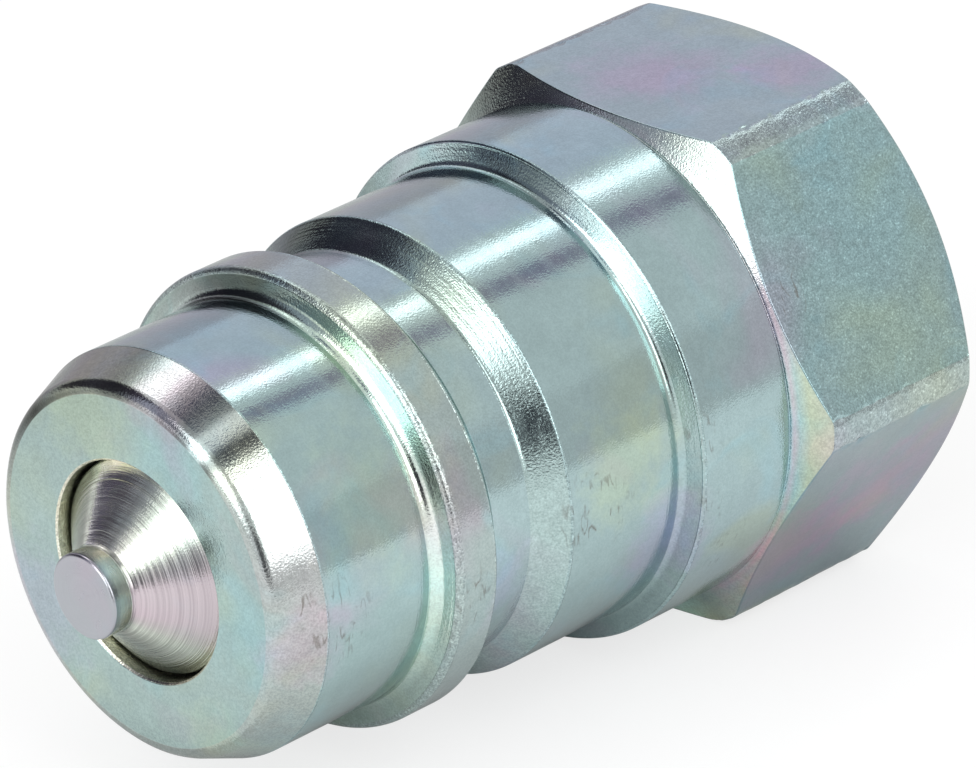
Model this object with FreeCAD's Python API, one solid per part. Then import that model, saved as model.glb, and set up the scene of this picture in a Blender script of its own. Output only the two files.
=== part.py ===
import FreeCAD, Part
import math
import os

# A hydraulic quick coupler's male half, DN 10, turned from 22 mm hexagon bar.
# Lengths in millimetres. The axis is X: the nose points to -X, and the origin is the
# centre of the port's mouth, in the hexagon's rear face. A flat of the hexagon is up.

# Outside of the body, from the nose to the port
body_len = 36.25
nose_face_d = 15.64
nose_edge_round = 0.6
nose_taper_len = 2.14
nose_taper_round = 0.3
probe_d = 17.3
probe_land_len = 5.81
collar_foot_round = 0.45
collar_d = 19.6
collar_front_angle = 80.0
collar_front_edge_round = 0.3
collar_land_len = 1.98
collar_edge_round = 0.15
collar_rear_angle = 50.0
groove_d = 17.5
groove_len = 3.01
groove_foot_round = 0.25
sleeve_cone_angle = 42.0
sleeve_d = 19.64
sleeve_len = 6.18
flange_face_angle = 70.0
flange_root_round = 0.3
flange_edge_chamfer = 0.1
barrel_d = 21.6
barrel_len = 4.94
neck_depth = 0.06
neck_len = 0.12

# Hexagon
across_flats = 22.0
across_corners = 24.74
hex_front_chamfer_angle = 29.0
hex_rear_chamfer_angle = 36.5
port_face_d = 20.9

# Inside of the body, from the nose to the port
nose_bore_d = 9.3
nose_bore_edge = 0.1
nose_bore_len = 2.15
seat_angle = 45.0
chamber_d = 13.2
chamber_end = 19.35
guide_bore_d = 14.2
guide_bore_len = 3.6
ring_groove_d = 15.0
ring_groove_len = 1.1
relief_d = 17.4
relief_len = 1.8
thread_major_d = 16.662
port_chamfer = 0.3

# Valve poppet and its seal
poppet_clearance = 0.12
poppet_rest_depth = 0.65
poppet_edge_round = 0.35
tip_d = 3.6
tip_reach = 2.76
tip_len = 1.09
tip_edge_round = 0.12
tip_foot_round = 0.3
lip_clearance = 0.25
lip_d = 10.3
seal_section_d = 1.78
seal_seat_clearance = 0.05
shank_d = 5.8
stem_d = 4.2
stem_clearance = 0.05
stem_end_gap = 0.4
stem_end_chamfer = 0.4
valve_travel = 4.5

# Seal retainer
retainer_overhang = 0.55
retainer_len = 0.97
retainer_bore_clearance = 0.05
retainer_edge_chamfer = 0.15

# Spring
wire_d = 1.0
spring_mean_d = 7.2
spring_turns = 7.0
closed_turns = 1.0
closed_pitch = 1.05
ground_share = 0.25
spring_points_per_turn = 12

# Valve guide
guide_clearance = 0.05
guide_rim_len = 1.7
guide_seat_d = 8.8
guide_seat_len = 1.2
guide_spigot_d = 5.9
guide_spigot_len = 0.7
guide_hub_d = 7.0
window_rim_wall = 0.95
window_count = 3
window_arm_width = 2.0

# Retaining ring
ring_thickness = 1.0
ring_groove_clearance = 0.05
ring_inner_d = 12.6
ring_gap_angle = 34.0
lug_r = 1.05
lug_hole_r = 0.5
lug_centre_d = 12.4


def tan_deg(angle):
    return math.tan(math.radians(angle))


# Stations along the axis, measured from the nose face
probe_end = nose_taper_len + probe_land_len
collar_start = probe_end + (collar_d - probe_d) / 2 / tan_deg(collar_front_angle)
collar_end = collar_start + collar_land_len
groove_start = collar_end + (collar_d - groove_d) / 2 / tan_deg(collar_rear_angle)
groove_end = collar_end + groove_len
sleeve_start = groove_end + (sleeve_d - groove_d) / 2 / tan_deg(sleeve_cone_angle)
sleeve_end = sleeve_start + sleeve_len
flange_rim_d = barrel_d - 2 * flange_edge_chamfer
flange_start = sleeve_end + (flange_rim_d - sleeve_d) / 2 / tan_deg(flange_face_angle)
barrel_start = flange_start + flange_edge_chamfer
barrel_end = flange_start + barrel_len
hex_start = barrel_end + neck_len
hex_front_mid = hex_start + (across_flats - barrel_d + 2 * neck_depth) / 2 * tan_deg(hex_front_chamfer_angle)
hex_rear_mid = body_len - (across_flats - port_face_d) / 2 * tan_deg(hex_rear_chamfer_angle)
hex_corner_rise = (across_corners - across_flats) / 2

chamber_start = nose_bore_len + (chamber_d - nose_bore_d) / 2 / tan_deg(seat_angle)
ring_groove_start = chamber_end + guide_rim_len
relief_start = chamber_end + guide_bore_len
thread_start = relief_start + relief_len

poppet_d = nose_bore_d - 2 * poppet_clearance
lip_offset = lip_clearance / math.sin(math.radians(seat_angle))
lip_start = nose_bore_len + (poppet_d / 2 - nose_bore_d / 2 + lip_offset) / tan_deg(seat_angle)
seal_front = nose_bore_len + (lip_d / 2 - nose_bore_d / 2 + lip_offset) / tan_deg(seat_angle)
seal_centre = seal_front + seal_section_d / 2
seat_r_at_seal = nose_bore_d / 2 + (seal_centre - nose_bore_len) * tan_deg(seat_angle)
seal_reach = (seal_section_d / 2 + seal_seat_clearance) / math.cos(math.radians(seat_angle))
seal_mean_r = seat_r_at_seal - seal_reach
seal_floor_r = seal_mean_r - seal_section_d / 2
retainer_d = lip_d + 2 * retainer_overhang
retainer_start = seal_front + seal_section_d
spring_start = retainer_start + retainer_len
spring_end = chamber_end - guide_seat_len
spigot_start = spring_end - guide_spigot_len
shank_end = spigot_start - valve_travel
guide_hub_end = relief_start
stem_end = guide_hub_end - stem_end_gap


def at(station, r, angle=90.0):
    """Point at a station and radius, at an angle about the axis (90 is straight up)."""
    turn = math.radians(angle)
    return FreeCAD.Vector(station - body_len, r * math.cos(turn), r * math.sin(turn))


def rounded_profile(corners):
    """Closed wire through corners (station, radius, round), with arcs at the rounds."""
    count = len(corners)
    points = [at(station, r) for station, r, _ in corners]
    starts = []
    ends = []
    arcs = []
    for i in range(count):
        here = points[i]
        before = (points[i - 1] - here).normalize()
        after = (points[(i + 1) % count] - here).normalize()
        rounding = corners[i][2]
        if rounding == 0:
            starts.append(here)
            ends.append(here)
            arcs.append(None)
            continue
        half = before.getAngle(after) / 2
        back = rounding / math.tan(half)
        centre = here + (before + after).normalize() * (rounding / math.sin(half))
        middle = centre + (here - centre).normalize() * rounding
        starts.append(here + before * back)
        ends.append(here + after * back)
        arcs.append(middle)
    edges = []
    for i in range(count):
        if arcs[i] is not None:
            edges.append(Part.Arc(starts[i], arcs[i], ends[i]).toShape())
        following = starts[(i + 1) % count]
        if (following - ends[i]).Length > 1e-6:
            edges.append(Part.LineSegment(ends[i], following).toShape())
    return Part.Wire(Part.__sortEdges__(edges))


def lathe(corners):
    """Solid turned about the axis from a closed profile of (station, radius, round)."""
    face = Part.Face(rounded_profile(corners))
    return face.revolve(FreeCAD.Vector(0, 0, 0), FreeCAD.Vector(1, 0, 0), 360)


def rod(start, end, r, angle=90.0, centre_r=0.0):
    """Cylinder along the axis, at a place off the axis if asked."""
    return Part.makeCylinder(r, end - start, at(start, centre_r, angle), FreeCAD.Vector(1, 0, 0))


def hexagon_bar(start, end):
    """Hexagon bar with flats up and down, as long as asked."""
    corner_r = across_flats / 2 / math.cos(math.radians(30))
    points = [at(start, corner_r, 60 * i) for i in range(7)]
    face = Part.Face(Part.makePolygon(points))
    return face.extrude(FreeCAD.Vector(end - start, 0, 0))


def probe_and_barrel():
    """The turned outside: nose, locking collar, ball groove, sleeve and rear barrel."""
    return lathe([
        (0, 0, 0),
        (0, nose_face_d / 2, nose_edge_round),
        (nose_taper_len, probe_d / 2, nose_taper_round),
        (probe_end, probe_d / 2, collar_foot_round),
        (collar_start, collar_d / 2, collar_front_edge_round),
        (collar_end, collar_d / 2, collar_edge_round),
        (groove_start, groove_d / 2, groove_foot_round),
        (groove_end, groove_d / 2, groove_foot_round),
        (sleeve_start, sleeve_d / 2, collar_edge_round),
        (sleeve_end, sleeve_d / 2, flange_root_round),
        (flange_start, flange_rim_d / 2, 0),
        (barrel_start, barrel_d / 2, 0),
        (barrel_end, barrel_d / 2, 0),
        (barrel_end, barrel_d / 2 - neck_depth, 0),
        (hex_start, barrel_d / 2 - neck_depth, 0),
        (hex_start, 0, 0),
    ])


def hexagon():
    """The hexagon, its corners turned down and both ends chamfered to cones."""
    front_r = barrel_d / 2 - neck_depth
    front_corner = hex_front_mid + hex_corner_rise * tan_deg(hex_front_chamfer_angle)
    rear_corner = hex_rear_mid - hex_corner_rise * tan_deg(hex_rear_chamfer_angle)
    blank = lathe([
        (hex_start, 0, 0),
        (hex_start, front_r, 0),
        (front_corner, across_corners / 2, 0),
        (rear_corner, across_corners / 2, 0),
        (body_len, port_face_d / 2, 0),
        (body_len, 0, 0),
    ])
    return blank.common(hexagon_bar(hex_start, body_len))


def bore():
    """The whole inside: nose bore, valve seat, chamber, guide bore, grooves and port."""
    edge = nose_bore_edge
    thread_r = thread_major_d / 2
    hollow = lathe([
        (0, 0, 0),
        (0, nose_bore_d / 2 + edge, 0),
        (edge, nose_bore_d / 2, 0),
        (nose_bore_len, nose_bore_d / 2, 0),
        (chamber_start, chamber_d / 2, 0),
        (chamber_end, chamber_d / 2, 0),
        (chamber_end, guide_bore_d / 2, 0),
        (relief_start, guide_bore_d / 2, 0),
        (relief_start, relief_d / 2, 0),
        (thread_start, relief_d / 2, 0),
        (thread_start, thread_r, 0),
        (body_len - port_chamfer, thread_r, 0),
        (body_len, thread_r + port_chamfer, 0),
        (body_len, 0, 0),
    ])
    return hollow.fuse(rod(ring_groove_start, ring_groove_start + ring_groove_len, ring_groove_d / 2))


def coupler_body():
    solid = probe_and_barrel().fuse(hexagon())
    return solid.cut(bore()).removeSplitter()


def poppet():
    """Valve poppet: tip, cone, land in the nose bore, seal lip, shank and stem."""
    return lathe([
        (-tip_reach, 0, 0),
        (-tip_reach, tip_d / 2, tip_edge_round),
        (tip_len - tip_reach, tip_d / 2, tip_foot_round),
        (poppet_rest_depth, poppet_d / 2, poppet_edge_round),
        (lip_start, poppet_d / 2, 0),
        (seal_front, lip_d / 2, 0),
        (seal_front, seal_floor_r, 0),
        (retainer_start, seal_floor_r, 0),
        (retainer_start, shank_d / 2, 0),
        (shank_end, shank_d / 2, 0),
        (shank_end, stem_d / 2, 0),
        (stem_end - stem_end_chamfer, stem_d / 2, 0),
        (stem_end, stem_d / 2 - stem_end_chamfer, 0),
        (stem_end, 0, 0),
    ])


def poppet_seal():
    """O-ring that closes on the seat."""
    axis = FreeCAD.Vector(1, 0, 0)
    return Part.makeTorus(seal_mean_r, seal_section_d / 2, at(seal_centre, 0), axis)


def seal_retainer():
    """Ring that the spring holds against the poppet's shoulder, behind the seal."""
    inner = shank_d / 2 + retainer_bore_clearance
    edge = retainer_edge_chamfer
    return lathe([
        (retainer_start, inner, 0),
        (retainer_start, retainer_d / 2 - edge, 0),
        (retainer_start + edge, retainer_d / 2, 0),
        (spring_start - edge, retainer_d / 2, 0),
        (spring_start, retainer_d / 2 - edge, 0),
        (spring_start, inner, 0),
    ])


def spring_station(turn):
    """Station of the wire's centre after so many turns: closed at both ends, even between."""
    ground = ground_share * wire_d
    first = spring_start + wire_d / 2 - ground
    last = spring_end - wire_d / 2 + ground
    closed_rise = closed_turns * closed_pitch
    even_turns = spring_turns - 2 * closed_turns
    even_pitch = (last - first - 2 * closed_rise) / even_turns
    if turn < closed_turns:
        return first + turn * closed_pitch
    if turn < closed_turns + even_turns:
        return first + closed_rise + (turn - closed_turns) * even_pitch
    return last - (spring_turns - turn) * closed_pitch


def valve_spring():
    """Compression spring with closed and ground ends."""
    steps = round(spring_turns * spring_points_per_turn)
    turns = [spring_turns * i / steps for i in range(steps + 1)]
    points = [at(spring_station(turn), spring_mean_d / 2, 360 * turn) for turn in turns]
    path = Part.BSplineCurve()
    path.interpolate(points)
    start, direction = path.value(path.FirstParameter), path.tangent(path.FirstParameter)[0]
    section = Part.Wire(Part.makeCircle(wire_d / 2, start, direction))
    coil = Part.Wire(path.toShape()).makePipeShell([section], True, True)
    return coil.common(rod(spring_start, spring_end, spring_mean_d / 2 + wire_d))


def window(angle):
    """Kidney-shaped flow window through the guide, centred at an angle."""
    inner_r = guide_seat_d / 2
    outer_r = guide_bore_d / 2 - guide_clearance - window_rim_wall
    mean_r = (inner_r + outer_r) / 2
    end_r = (outer_r - inner_r) / 2
    start = spring_end - guide_spigot_len
    end = ring_groove_start + ring_groove_len
    end_turn = 180 / window_count - math.degrees((window_arm_width / 2 + end_r) / mean_r)
    band = rod(start, end, outer_r).cut(rod(start, end, inner_r))
    far = 2 * guide_bore_d
    wedge_points = [at(start, 0), at(start, far, angle - end_turn), at(start, far, angle + end_turn), at(start, 0)]
    wedge = Part.Face(Part.makePolygon(wedge_points)).extrude(FreeCAD.Vector(end - start, 0, 0))
    ends = [rod(start, end, end_r, angle + side * end_turn, mean_r) for side in (-1, 1)]
    return band.common(wedge).fuse(ends)


def valve_guide():
    """Guide that carries the poppet's stem and the spring, with flow windows round its hub."""
    rim_r = guide_bore_d / 2 - guide_clearance
    stem_bore_r = stem_d / 2 + stem_clearance
    rim_end = chamber_end + guide_rim_len
    solid = lathe([
        (spigot_start, stem_bore_r, 0),
        (spigot_start, guide_spigot_d / 2, 0),
        (spring_end, guide_spigot_d / 2, 0),
        (spring_end, guide_seat_d / 2, 0),
        (chamber_end, guide_seat_d / 2, 0),
        (chamber_end, rim_r, 0),
        (rim_end, rim_r, 0),
        (rim_end, guide_hub_d / 2, 0),
        (guide_hub_end, guide_hub_d / 2, 0.4),
        (guide_hub_end, stem_bore_r, 0),
    ])
    for i in range(window_count):
        solid = solid.cut(window(90 + (i + 0.5) * 360 / window_count))
    return solid


def snap_ring():
    """Internal retaining ring in its groove, its gap and eyed lugs at the bottom."""
    start = ring_groove_start
    end = start + ring_thickness
    outer_r = ring_groove_d / 2 - ring_groove_clearance
    ring = rod(start, end, outer_r).cut(rod(start, end, ring_inner_d / 2))
    half = ring_gap_angle / 2
    far = ring_groove_d
    gap_points = [at(start, 0), at(start, far, 270 - half), at(start, far, 270 + half), at(start, 0)]
    gap = Part.Face(Part.makePolygon(gap_points)).extrude(FreeCAD.Vector(ring_thickness, 0, 0))
    ring = ring.cut(gap)
    for side in (-1, 1):
        lug_turn = 270 + side * (half + math.degrees(2 * lug_r / lug_centre_d))
        lug = rod(start, end, lug_r, lug_turn, lug_centre_d / 2)
        eye = rod(start, end, lug_hole_r, lug_turn, lug_centre_d / 2)
        ring = ring.fuse(lug).cut(eye)
    return ring.removeSplitter()


nodes = {
    "coupler_body": coupler_body,
    "poppet": poppet,
    "poppet_seal": poppet_seal,
    "seal_retainer": seal_retainer,
    "valve_spring": valve_spring,
    "valve_guide": valve_guide,
    "snap_ring": snap_ring,
}

os.makedirs("parts", exist_ok=True)
for name, make in nodes.items():
    shape = make()
    shape.exportStep(f"parts/{name}.step")
    box = shape.BoundBox
    print(f"{name:14s} solids {len(shape.Solids)} valid {shape.isValid()} volume {shape.Volume:9.2f}"
          f" x {box.XMin:7.2f} to {box.XMax:6.2f}  y {box.YMin:6.2f} to {box.YMax:5.2f}"
          f"  z {box.ZMin:6.2f} to {box.ZMax:5.2f}")
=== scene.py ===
import math
import bmesh
import bpy
import numpy as np
from mathutils import Matrix, Vector


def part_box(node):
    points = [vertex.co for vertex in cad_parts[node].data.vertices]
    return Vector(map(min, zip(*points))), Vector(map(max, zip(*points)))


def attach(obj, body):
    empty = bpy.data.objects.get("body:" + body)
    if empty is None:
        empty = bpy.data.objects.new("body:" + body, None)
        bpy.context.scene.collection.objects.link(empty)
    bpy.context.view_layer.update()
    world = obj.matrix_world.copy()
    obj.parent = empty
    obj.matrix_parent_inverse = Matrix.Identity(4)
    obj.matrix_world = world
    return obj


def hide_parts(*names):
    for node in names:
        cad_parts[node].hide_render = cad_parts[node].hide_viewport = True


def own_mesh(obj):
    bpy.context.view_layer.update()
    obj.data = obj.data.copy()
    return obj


# The male half of a hydraulic quick coupler, lying on a pale table on one flat of its hexagon.
# X is the turned axis and the nose points to -X. Shapes are worked out in millimetres from the
# nose face, as stations along the axis and radii, and go into the meshes in metres.
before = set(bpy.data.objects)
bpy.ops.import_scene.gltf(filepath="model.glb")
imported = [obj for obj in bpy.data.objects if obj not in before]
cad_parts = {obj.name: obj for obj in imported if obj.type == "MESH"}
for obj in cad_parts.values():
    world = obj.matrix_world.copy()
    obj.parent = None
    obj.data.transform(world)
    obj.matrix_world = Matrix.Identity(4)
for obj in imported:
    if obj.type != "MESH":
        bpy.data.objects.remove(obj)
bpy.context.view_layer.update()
mm = 0.001
bodyLow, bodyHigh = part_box("coupler_body")
noseX = bodyLow.x
bodyLength = (bodyHigh.x - bodyLow.x) / mm
print("frame loaded, body", round(bodyLength, 2), "mm long")


# Mesh helpers
arcSteps = 4
support = 0.03      # millimetres from an arc to the row that keeps the stretch beside it straight


def roundedPath(corners, closed):
    # Path through corners (station, radius, rounding, cuts), an arc in place of each corner:
    # centre + (sin((1-t)w) v0 + sin(tw) v1) / sin(w), with w the angle between the radii v0 and
    # v1 to the arc's ends. Cuts adds even rows after the corner. Stations and radii may be one
    # number or one per angle.
    count = len(corners)
    width = max(max(np.size(c[0]), np.size(c[1])) for c in corners)
    place = np.array([[np.broadcast_to(value, width) for value in c[:2]] for c in corners])
    starts, ends, arcs = [], [], []
    for i in range(count):
        here = place[i]
        rounding = corners[i][2]
        if rounding == 0 or (not closed and i in (0, count - 1)):
            starts.append(here)
            ends.append(here)
            arcs.append([here])
            continue
        before = place[i - 1] - here
        after = place[(i + 1) % count] - here
        before = before / np.linalg.norm(before, axis=0)
        after = after / np.linalg.norm(after, axis=0)
        half = np.arccos(np.clip((before * after).sum(0), -1, 1)) / 2
        back = rounding / np.tan(half)
        middle = before + after
        centre = here + middle / np.linalg.norm(middle, axis=0) * rounding / np.sin(half)
        first = here + before * back
        last = here + after * back
        turn = np.pi - 2 * half
        arcs.append([centre + (np.sin((1 - t) * turn) * (first - centre)
                               + np.sin(t * turn) * (last - centre)) / np.sin(turn)
                     for t in np.linspace(0, 1, arcSteps + 1)])
        starts.append(first)
        ends.append(last)
    rows = []
    owner = []      # the corner that each row follows
    for i in range(count):
        rows.extend(arcs[i])
        owner.extend([i] * len(arcs[i]))
        if not closed and i == count - 1:
            break
        run = starts[(i + 1) % count] - ends[i]
        length = np.linalg.norm(run, axis=0)
        edge = np.minimum(support / np.maximum(length, 1e-9), 0.25)
        shares = [edge + (1 - 2 * edge) * share for share in np.linspace(0, 1, corners[i][3] + 2)]
        rows.extend([ends[i] + run * share for share in shares])
        owner.extend([i] * len(shares))
    rows = np.array(rows)
    return rows[:, 0, :].T, rows[:, 1, :].T, np.array(owner)


def turned(stations, radii, angles):
    # Point (x, r cos a, r sin a) for each angle a and each row of the profile, in metres.
    a = angles[:, None]
    radii = np.broadcast_to(radii, (len(angles), radii.shape[1])) * mm
    stations = np.broadcast_to(stations, radii.shape) * mm + noseX
    return np.stack([stations, radii * np.cos(a), radii * np.sin(a)], -1)


def gridMesh(name, points, closeAround, closeAlong):
    # Quads between neighbours on a grid of points [around, along, xyz].
    around, along = points.shape[:2]
    index = np.arange(around * along).reshape(around, along)
    left = index if closeAround else index[:-1]
    right = np.roll(index, -1, 0) if closeAround else index[1:]
    if closeAlong:
        quads = np.stack([left, right, np.roll(right, -1, 1), np.roll(left, -1, 1)], -1)
    else:
        quads = np.stack([left[:, :-1], right[:, :-1], right[:, 1:], left[:, 1:]], -1)
    mesh = bpy.data.meshes.new(name)
    mesh.from_pydata(points.reshape(-1, 3).tolist(), [], quads.reshape(-1, 4).tolist())
    return mesh


def tidyMesh(mesh, sharpAngle, mergeDistance=0):
    # Poles are merged, and shading is smooth except across edges sharper than sharpAngle.
    if mergeDistance:
        work = bmesh.new()
        work.from_mesh(mesh)
        bmesh.ops.remove_doubles(work, verts=work.verts, dist=mergeDistance)
        work.to_mesh(mesh)
        work.free()
    mesh.validate()
    mesh.shade_smooth()
    mesh.set_sharp_from_angle(angle=math.radians(sharpAngle))
    mesh.update()


def faceOutward(mesh):
    work = bmesh.new()
    work.from_mesh(mesh)
    bmesh.ops.recalc_face_normals(work, faces=work.faces)
    work.to_mesh(mesh)
    work.free()


def storeTone(mesh, tone):
    # One colour for each vertex, read by the material as its base tone; on the body and the poppet
    # it holds painted reflection, light and shade.
    layer = mesh.color_attributes.new("plateToneAndReflection", "FLOAT_COLOR", "POINT")
    layer.data.foreach_set("color", tone.ravel())


def storeValues(mesh, name, values):
    mesh.attributes.new(name, "FLOAT", "POINT").data.foreach_set("value", values.ravel())


def newObject(name, data):
    made = bpy.data.objects.new(name, data)
    bpy.context.scene.collection.objects.link(made)
    return made


def addPiece(mesh, body, slot, material, *replaced):
    piece = newObject(mesh.name, mesh)
    mesh.materials.append(material)
    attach(piece, body)
    if replaced:
        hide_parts(*replaced)
    return piece


def evenAngles(steps):
    return np.linspace(0, 2 * np.pi, steps, endpoint=False)


# Node helpers
def fill(tree, node, values):
    # Gives each named input its value, or links it from a socket.
    for name, value in values.items():
        if isinstance(value, bpy.types.NodeSocket):
            tree.links.new(value, node.inputs[name])
        else:
            node.inputs[name].default_value = value
    return node


def put(tree, kind, values=None, **settings):
    made = tree.nodes.new("ShaderNode" + kind)
    for name, value in settings.items():
        setattr(made, name, value)
    return fill(tree, made, values or {})


def calc(tree, operation, first, second=0.0, third=0.0):
    return put(tree, "Math", {0: first, 1: second, 2: third}, operation=operation).outputs[0]


def times(tree, first, second):
    return calc(tree, "MULTIPLY", first, second)


def span(tree, value, fromLow, fromHigh, toLow=0.0, toHigh=1.0):
    made = put(tree, "MapRange", {"Value": value, "From Min": fromLow, "From Max": fromHigh,
                                  "To Min": toLow, "To Max": toHigh})
    return made.outputs["Result"]


def blendColor(tree, share, first, second, mode="MIX"):
    made = put(tree, "Mix", data_type="RGBA", blend_type=mode)
    sockets = [s for s in made.inputs if s.enabled]
    for socket, value in zip(sockets, (share, first, second)):
        if isinstance(value, bpy.types.NodeSocket):
            tree.links.new(value, socket)
        else:
            socket.default_value = value
    return [s for s in made.outputs if s.enabled][0]


def tinted(tree, color, tint):
    return blendColor(tree, 1.0, color, tint, "MULTIPLY")


def grey(tree, share):
    return put(tree, "CombineColor", {0: share, 1: share, 2: share}).outputs[0]


def shaded(tree, color, share):
    return tinted(tree, color, grey(tree, share))


def newGroup(name, inputs, outputs):
    # A node group with inputs {name: start value} and outputs {name: socket kind}.
    group = bpy.data.node_groups.new(name, "ShaderNodeTree")
    for label, value in inputs.items():
        kind = "NodeSocketVector" if isinstance(value, tuple) else "NodeSocketFloat"
        socket = group.interface.new_socket(label, in_out="INPUT", socket_type=kind)
        socket.default_value = value
    for label, kind in outputs.items():
        group.interface.new_socket(label, in_out="OUTPUT", socket_type=kind)
    return group, group.nodes.new("NodeGroupInput"), group.nodes.new("NodeGroupOutput")


def useGroup(tree, group, values):
    made = tree.nodes.new("ShaderNodeGroup")
    made.node_tree = group
    return fill(tree, made, values)


def attribute(tree, name, output="Fac"):
    return put(tree, "Attribute", attribute_name=name).outputs[output]


def turnedPlace(tree):
    # Object place, station and radius in millimetres, and the cosine and sine of its angle.
    place = put(tree, "TexCoord").outputs["Object"]
    parts = put(tree, "SeparateXYZ", {0: place})
    x, y, z = (times(tree, parts.outputs[i], 1 / mm) for i in range(3))
    radius = calc(tree, "SQRT", calc(tree, "ADD", times(tree, y, y), times(tree, z, z)))
    safe = calc(tree, "MAXIMUM", radius, 0.01)
    return place, x, radius, calc(tree, "DIVIDE", y, safe), calc(tree, "DIVIDE", z, safe)


# Shared finishes
def makeToolMarks():
    # Rings left by the lathe: noise that changes quickly with station + radius and slowly round.
    group, given, out = newGroup("toolMarks", {"Fineness": 9.0, "Waver": 2.0},
                                 {"Height": "NodeSocketFloat", "Streak": "NodeSocketFloat"})
    streakFineness, streakWaver = 1.7, 3.0
    _, x, radius, cosine, sine = turnedPlace(group)
    turnA = times(group, cosine, given.outputs["Waver"])
    turnB = times(group, sine, given.outputs["Waver"])
    fineX = times(group, x, given.outputs["Fineness"])
    fineR = times(group, radius, given.outputs["Fineness"])
    place = put(group, "CombineXYZ", {0: fineX, 1: fineR, 2: turnA}).outputs[0]
    marks = put(group, "TexNoise", {"Vector": place, "W": turnB, "Scale": 1.0, "Detail": 1.5,
                                    "Roughness": 0.65}, noise_dimensions="4D")
    broad = put(group, "CombineXYZ", {0: times(group, x, streakFineness),
                                      1: times(group, radius, streakFineness),
                                      2: times(group, turnA, streakWaver)}).outputs[0]
    streak = put(group, "TexNoise", {"Vector": broad, "W": times(group, turnB, streakWaver),
                                     "Scale": 1.0, "Detail": 1.0}, noise_dimensions="4D")
    fill(group, out, {"Height": marks.outputs["Fac"], "Streak": streak.outputs["Fac"]})
    return group


def makePlateGrain():
    # The plate's crystals, two sizes of fine noise, and larger clouds.
    group, given, out = newGroup("plateGrain", {"Size": 0.09},
                                 {"Height": "NodeSocketFloat", "Cloud": "NodeSocketFloat"})
    coarseScale, coarseShare = 0.3, 0.4
    place = put(group, "TexCoord").outputs["Object"]
    scale = calc(group, "DIVIDE", 1 / mm, given.outputs["Size"])
    fine = put(group, "TexNoise", {"Vector": place, "Scale": scale, "Detail": 1.0,
                                   "Roughness": 0.6})
    coarse = put(group, "TexNoise", {"Vector": place, "Scale": times(group, scale, coarseScale),
                                     "Detail": 1.0, "Roughness": 0.7})
    cloud = put(group, "TexNoise", {"Vector": place, "Scale": 520.0, "Detail": 3.0,
                                    "Roughness": 0.7})
    height = calc(group, "MULTIPLY_ADD", coarse.outputs["Fac"], coarseShare, fine.outputs["Fac"])
    fill(group, out, {"Height": height, "Cloud": cloud.outputs["Fac"]})
    return group


# Where in the noise each shade of the film comes in and is full, and the shade.
filmShades = {"pink": (0.55, 0.72, (1.22, 0.86, 1.03, 1)),
              "yellowGreen": (0.46, 0.3, (1.18, 1.08, 0.84, 1)),
              "cyan": (0.56, 0.72, (0.9, 1.06, 1.14, 1))}


def makeFilmTint():
    # The passivation's soft colours: slow noise picks pink, yellow-green or cyan over the tone.
    group, given, out = newGroup("filmTint", {"Amount": 1.0, "Shift": (0.0, 0.0, 0.0)},
                                 {"Color": "NodeSocketColor"})
    place = put(group, "TexCoord").outputs["Object"]
    moved = put(group, "VectorMath", {0: place, 1: given.outputs["Shift"]}, operation="ADD")
    slow = put(group, "TexNoise", {"Vector": moved.outputs[0], "Scale": 150.0, "Detail": 2.0,
                                   "Distortion": 0.6})
    other = put(group, "TexNoise", {"Vector": moved.outputs[0], "Scale": 260.0, "Detail": 3.0,
                                    "Distortion": 0.9})
    color = (1, 1, 1, 1)
    for name, noise in (("pink", slow), ("yellowGreen", slow), ("cyan", other)):
        start, full, shade = filmShades[name]
        share = span(group, noise.outputs["Fac"], start, full)
        color = blendColor(group, times(group, share, given.outputs["Amount"]), color, shade)
    fill(group, out, {"Color": color})
    return group


def makeRubLines():
    # Dark scratches: where noise, drawn out along Z, is near its middle, in broken patches.
    drawnOut, lineWidth, patchEdge = (1.0, 0.6, 0.28), (0.05, 0.012), (0.49, 0.6)
    group, _, out = newGroup("rubLines", {}, {"Mask": "NodeSocketFloat"})
    place = put(group, "TexCoord").outputs["Object"]
    drawn = put(group, "VectorMath", {0: place, 1: drawnOut}, operation="MULTIPLY")
    lines = put(group, "TexNoise", {"Vector": drawn.outputs[0], "Scale": 2600.0, "Detail": 1.0,
                                    "Distortion": 0.15})
    offset = calc(group, "ABSOLUTE", calc(group, "SUBTRACT", lines.outputs["Fac"], 0.5))
    patches = put(group, "TexNoise", {"Vector": place, "Scale": 1700.0, "Detail": 1.5})
    mask = times(group, span(group, offset, *lineWidth),
                 span(group, patches.outputs["Fac"], *patchEdge))
    fill(group, out, {"Mask": mask})
    return group


def makeSoftBall():
    # One minus distance over reach, plus a ragged edge worked out once for all balls.
    starts = {"Centre": (0.0, 0.0, 0.0), "Reach": 0.0015, "Amount": 1.0, "Edge": 0.0}
    fullFrom = 0.6
    group, given, out = newGroup("softBall", starts, {"Mask": "NodeSocketFloat"})
    place = put(group, "TexCoord").outputs["Object"]
    away = put(group, "VectorMath", {0: place, 1: given.outputs["Centre"]}, operation="DISTANCE")
    reached = calc(group, "DIVIDE", away.outputs["Value"], given.outputs["Reach"])
    share = calc(group, "ADD", calc(group, "SUBTRACT", 1.0, reached), given.outputs["Edge"])
    mask = times(group, span(group, share, 0.0, fullFrom), given.outputs["Amount"])
    fill(group, out, {"Mask": mask})
    return group


toolMarks = makeToolMarks()
plateGrain = makePlateGrain()
filmTint = makeFilmTint()
rubLines = makeRubLines()
softBall = makeSoftBall()
print("shared finishes made")

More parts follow.
